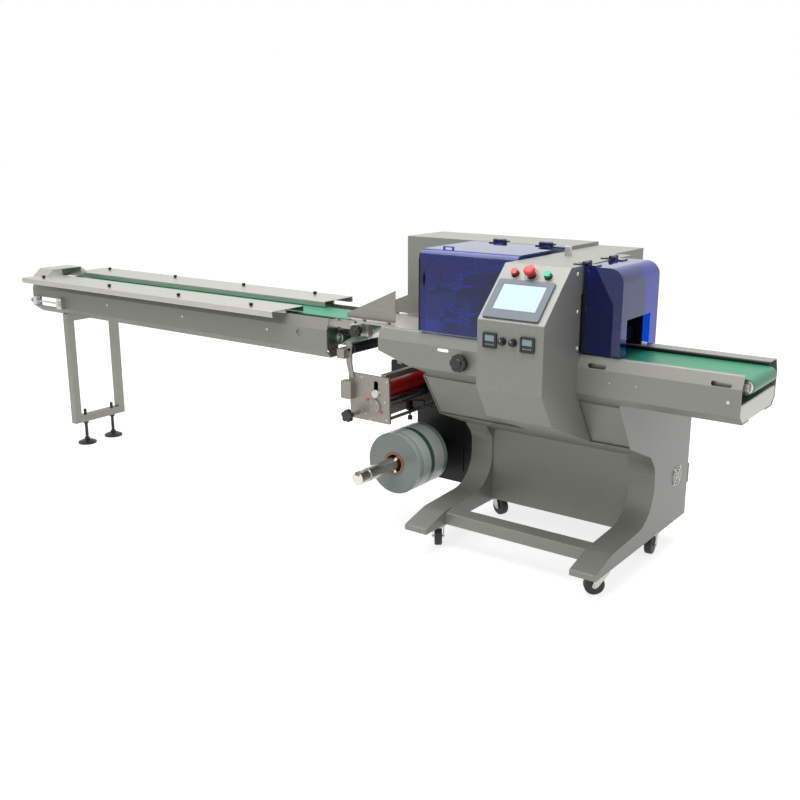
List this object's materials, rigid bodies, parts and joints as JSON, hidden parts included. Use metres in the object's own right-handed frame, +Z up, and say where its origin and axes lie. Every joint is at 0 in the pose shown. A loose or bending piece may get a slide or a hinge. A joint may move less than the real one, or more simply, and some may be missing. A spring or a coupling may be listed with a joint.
{
  "type": "horizontal flow wrapper",
  "caption": "Packaging-line flow wrapper with a belt infeed on its own stand, folding hoods, a touch-screen control tower, film reel, discharge belt and a cabinet on casters.",
  "frame": {"origin": "on the floor, under the middle of the machine's bounding box", "axes": "+X along the product path from infeed to discharge, +Y from the operator side to the back, +Z up"},
  "size_m": [3.7869, 1.0253, 1.214],
  "materials": {
    "body_paint": "satin silver-grey",
    "stainless": "brushed",
    "blue_acrylic": "clear gloss",
    "black_plastic": "matte",
    "grey_plastic": "matte",
    "red_plastic": "gloss",
    "green_plastic": "gloss",
    "green_belt": "matte",
    "steel": "turned",
    "dark_paint": "satin",
    "film": "gloss",
    "aluminium": "milled",
    "red_rubber": "satin",
    "zinc": "zinc plated",
    "caster_rubber": "matte"
  },
  "bodies": {
    "frame": {"belt_tensioner": "steel", "button_collars": "black_plastic", "caster_plates": "zinc", "control_tower": "body_paint", "conveyor_rollers": "steel", "crossbar": "body_paint", "film_bracket_plate": "dark_paint", "film_drive_frame": "aluminium", "forming_box": "stainless", "front_apron": "body_paint", "front_skirt": "body_paint", "hood_hinges": "black_plastic", "idler_arm": "aluminium", "infeed_bed": "steel", "infeed_belt": "green_belt", "infeed_front_cover": "stainless", "infeed_front_plate": "body_paint", "infeed_rear_cover": "stainless", "infeed_rear_plate": "body_paint", "infeed_side_cover": "stainless", "infeed_stand": "stainless", "jaw_unit": "dark_paint", "left_leg": "body_paint", "main_switch": "black_plastic", "outfeed_bed": "stainless", "outfeed_belt": "green_belt", "outfeed_front_rail": "body_paint", "outfeed_rear_rail": "body_paint", "pedestal_cabinet": "body_paint", "photo_sensor": "dark_paint", "product_bed": "stainless", "rear_cabinet": "body_paint", "right_leg": "body_paint", "stand_feet": "black_plastic", "tail_cover": "stainless", "temperature_controllers": "black_plastic", "touch_screen": "grey_plastic"},
    "front_hood": {"front_hood": "blue_acrylic"},
    "end_hood": {"end_hood": "blue_acrylic"},
    "stop_button": {"stop_button": "red_plastic"},
    "start_button": {"start_button": "green_plastic"},
    "emergency_stop": {"emergency_stop": "red_plastic"},
    "left_selector_knob": {"left_selector_knob": "black_plastic"},
    "right_selector_knob": {"right_selector_knob": "black_plastic"},
    "apron_handwheel": {"apron_handwheel": "black_plastic"},
    "bed_handwheel": {"bed_handwheel": "black_plastic"},
    "red_roller": {"red_roller": "red_rubber"},
    "drive_roller": {"drive_roller": "steel"},
    "film_star_knob": {"film_star_knob": "black_plastic"},
    "idler_roller": {"idler_roller": "dark_paint"},
    "film_reel": {"film_roll": "film", "film_shaft": "steel"},
    "front_left_fork": {"front_left_fork": "zinc"},
    "front_left_wheel": {"front_left_wheel": "caster_rubber"},
    "front_right_fork": {"front_right_fork": "zinc"},
    "front_right_wheel": {"front_right_wheel": "caster_rubber"},
    "rear_left_fork": {"rear_left_fork": "zinc"},
    "rear_left_wheel": {"rear_left_wheel": "caster_rubber"},
    "rear_right_fork": {"rear_right_fork": "zinc"},
    "rear_right_wheel": {"rear_right_wheel": "caster_rubber"}
  },
  "joints": [
    {"name": "front_hood_hinge", "type": "hinge", "parent": "frame", "child": "front_hood", "pos_m": [0.83, 0.18, 1.207], "axis": [-1, 0, 0], "range_deg": [0, 85]},
    {"name": "end_hood_hinge", "type": "hinge", "parent": "frame", "child": "end_hood", "pos_m": [1.299, -0.072, 1.193], "axis": [0, -1, 0], "range_deg": [0, 80]},
    {"name": "stop_button_press", "type": "slide", "parent": "frame", "child": "stop_button", "axis": [0, -0.701, 0.7132], "range_m": [-0.003, 0], "stiffness_N_per_m": 400},
    {"name": "start_button_press", "type": "slide", "parent": "frame", "child": "start_button", "axis": [0, -0.701, 0.7132], "range_m": [-0.003, 0], "stiffness_N_per_m": 400},
    {"name": "emergency_stop_press", "type": "slide", "parent": "frame", "child": "emergency_stop", "axis": [0, -0.701, 0.7132], "range_m": [-0.003, 0]},
    {"name": "left_selector_knob_turn", "type": "hinge", "parent": "frame", "child": "left_selector_knob", "pos_m": [1.146, -0.476, 0.949], "axis": [0, -1, 0], "range_deg": [-60, 60]},
    {"name": "right_selector_knob_turn", "type": "hinge", "parent": "frame", "child": "right_selector_knob", "pos_m": [1.187, -0.476, 0.949], "axis": [0, -1, 0], "range_deg": [-60, 60]},
    {"name": "apron_handwheel_turn", "type": "hinge", "parent": "frame", "child": "apron_handwheel", "pos_m": [0.827, -0.24, 0.792], "axis": [0, 1, 0], "continuous": true},
    {"name": "bed_handwheel_turn", "type": "hinge", "parent": "frame", "child": "bed_handwheel", "pos_m": [0.3, -0.19, 0.848], "axis": [0, 1, 0], "continuous": true},
    {"name": "film_reel_turn", "type": "hinge", "parent": "frame", "child": "film_reel", "pos_m": [0.447, 0, 0.298], "axis": [0, 1, 0], "continuous": true},
    {"name": "red_roller_turn", "type": "hinge", "parent": "frame", "child": "red_roller", "pos_m": [0.364, 0, 0.595], "axis": [0, 1, 0], "continuous": true},
    {"name": "drive_roller_turn", "type": "hinge", "parent": "frame", "child": "drive_roller", "pos_m": [0.367, 0, 0.537], "axis": [0, 1, 0], "continuous": true},
    {"name": "idler_roller_turn", "type": "hinge", "parent": "frame", "child": "idler_roller", "pos_m": [0.238, 0, 0.759], "axis": [0, 1, 0], "continuous": true},
    {"name": "film_star_knob_turn", "type": "hinge", "parent": "frame", "child": "film_star_knob", "pos_m": [0.275, -0.235, 0.495], "axis": [0, 1, 0], "continuous": true},
    {"name": "front_left_swivel", "type": "hinge", "parent": "frame", "child": "front_left_fork", "pos_m": [0.696, -0.18, 0.098], "axis": [0, 0, 1], "continuous": true},
    {"name": "front_left_roll", "type": "hinge", "parent": "front_left_fork", "child": "front_left_wheel", "pos_m": [0.67934, -0.15749, 0.038], "axis": [-0.8039, -0.5948, 0], "continuous": true},
    {"name": "front_right_swivel", "type": "hinge", "parent": "frame", "child": "front_right_fork", "pos_m": [1.413, -0.18, 0.098], "axis": [0, 0, 1], "continuous": true},
    {"name": "front_right_roll", "type": "hinge", "parent": "front_right_fork", "child": "front_right_wheel", "pos_m": [1.39049, -0.19665, 0.038], "axis": [0.5948, -0.8039, 0], "continuous": true},
    {"name": "rear_left_swivel", "type": "hinge", "parent": "frame", "child": "rear_left_fork", "pos_m": [0.68, 0.3, 0.098], "axis": [0, 0, 1], "continuous": true},
    {"name": "rear_left_roll", "type": "hinge", "parent": "rear_left_fork", "child": "rear_left_wheel", "pos_m": [0.70639, 0.29065, 0.038], "axis": [0.3338, 0.9426, 0], "continuous": true},
    {"name": "rear_right_swivel", "type": "hinge", "parent": "frame", "child": "rear_right_fork", "pos_m": [1.405, 0.3, 0.098], "axis": [0, 0, 1], "continuous": true},
    {"name": "rear_right_roll", "type": "hinge", "parent": "rear_right_fork", "child": "rear_right_wheel", "pos_m": [1.40793, 0.27215, 0.038], "axis": [0.9945, 0.1045, 0], "continuous": true}
  ]
}
